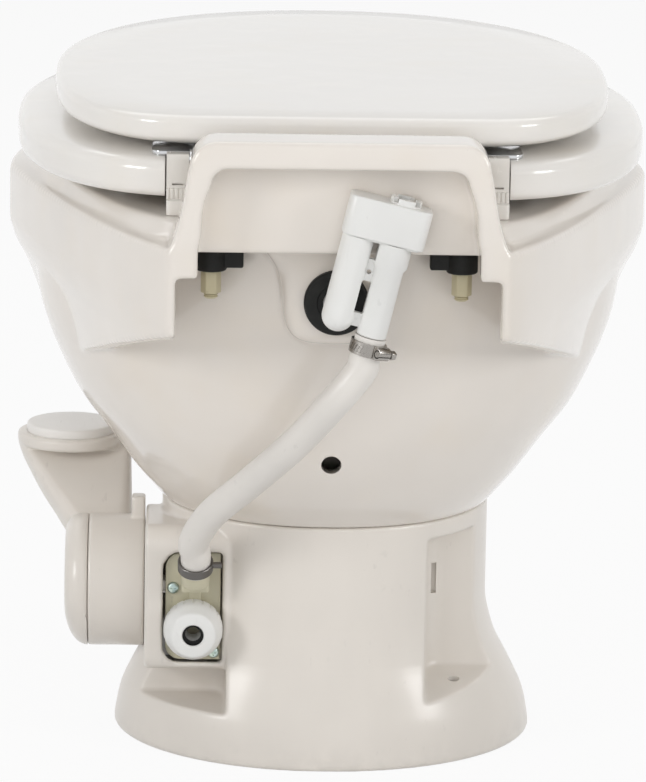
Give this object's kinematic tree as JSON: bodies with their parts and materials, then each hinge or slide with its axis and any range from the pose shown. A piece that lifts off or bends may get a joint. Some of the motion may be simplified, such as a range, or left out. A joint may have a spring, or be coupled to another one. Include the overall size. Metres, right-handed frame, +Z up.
{
  "type": "recreational vehicle toilet",
  "caption": "Low-profile gravity-flush toilet with a china bowl, rear ledge, foot pedal, water valve, hose and vacuum breaker, with seat and lid that turn up.",
  "frame": {"origin": "middle of the bounding box in X and Y, on the floor", "axes": "+Z up, the front of the bowl faces -Y, the pedal is on the +X side"},
  "size_m": [0.38, 0.488, 0.3923],
  "materials": {
    "vitreous_china": "glossy glaze",
    "enamel": "gloss enamel",
    "shell_plastic": "satin moulding",
    "pad_plastic": "matt",
    "white_plastic": "satin moulding",
    "hose_vinyl": "satin",
    "black_rubber": "matt",
    "natural_plastic": "unpainted moulding",
    "nylon": "unpainted moulding",
    "chrome": "polished",
    "stainless": "brushed",
    "zinc": "plated",
    "bearing_plastic": "matt",
    "ball_plastic": "polished"
  },
  "bodies": {
    "stand": {"bowl": "vitreous_china", "base_pedestal": "shell_plastic", "floor_seal": "black_rubber", "ball_seal": "black_rubber", "shaft_bush": "bearing_plastic", "idle_pin": "stainless", "water_valve": "natural_plastic", "inlet_fitting": "white_plastic", "inlet_washer": "black_rubber", "valve_screw_upper": "zinc", "valve_screw_lower": "zinc", "supply_hose": "hose_vinyl", "upper_clamp_band": "stainless", "upper_clamp_screw": "stainless", "lower_clamp": "stainless", "breaker_body": "white_plastic", "breaker_cap": "white_plastic", "breaker_grommet": "black_rubber", "hinge_post_left": "shell_plastic", "hinge_post_right": "shell_plastic", "hinge_pin_left": "chrome", "hinge_pin_right": "chrome", "hinge_bolt_left": "nylon", "hinge_bolt_right": "nylon", "bolt_bushing_left": "black_rubber", "bolt_bushing_right": "black_rubber", "bolt_nut_left": "nylon", "bolt_nut_right": "nylon"},
    "seat_ring": {"seat": "enamel", "seat_bumper_1": "pad_plastic", "seat_bumper_2": "pad_plastic", "seat_bumper_3": "pad_plastic", "seat_bumper_4": "pad_plastic", "seat_leaf_left": "chrome", "seat_leaf_right": "chrome"},
    "lid_plate": {"lid": "enamel", "lid_bumper_1": "pad_plastic", "lid_bumper_2": "pad_plastic", "lid_bumper_3": "pad_plastic", "lid_bumper_4": "pad_plastic", "lid_leaf_left": "chrome", "lid_leaf_right": "chrome"},
    "pedal_drive": {"pedal": "shell_plastic", "pedal_pad": "pad_plastic", "hub_cap": "shell_plastic", "spring_cartridge": "bearing_plastic", "drive_shaft": "stainless", "shaft_cam": "natural_plastic", "flush_ball": "ball_plastic"},
    "plunger": {"valve_plunger": "stainless"},
    "coupling": {"inlet_coupling": "white_plastic"},
    "float": {"breaker_float": "black_rubber"}
  },
  "joints": [
    {"name": "seat_hinge", "type": "hinge", "parent": "stand", "child": "seat_ring", "pos_m": [0, 0.18, 0.367], "axis": [-1, 0, 0], "range_deg": [0, 95]},
    {"name": "lid_hinge", "type": "hinge", "parent": "seat_ring", "child": "lid_plate", "pos_m": [0, 0.18, 0.367], "axis": [1, 0, 0], "range_deg": [-95, 0]},
    {"name": "pedal_press", "type": "hinge", "parent": "stand", "child": "pedal_drive", "pos_m": [0.12, 0.028, 0.086], "axis": [1, 0, 0], "range_deg": [0, 60], "stiffness_Nm_per_rad": 2, "springref_deg": -20.05},
    {"name": "plunger_slide", "type": "slide", "parent": "stand", "child": "plunger", "axis": [0, 1, 0], "range_m": [0, 0.004]},
    {"name": "coupling_turn", "type": "hinge", "parent": "stand", "child": "coupling", "pos_m": [0.0775, 0.115, 0.0784], "axis": [0, 1, 0], "continuous": true},
    {"name": "float_lift", "type": "slide", "parent": "stand", "child": "float", "axis": [-0.2334, 0, 0.9724], "range_m": [0, 0.004]}
  ],
  "couplings": [
    {"joint": "plunger_slide", "follows": "pedal_press", "m_per_rad": 0.003819}
  ]
}
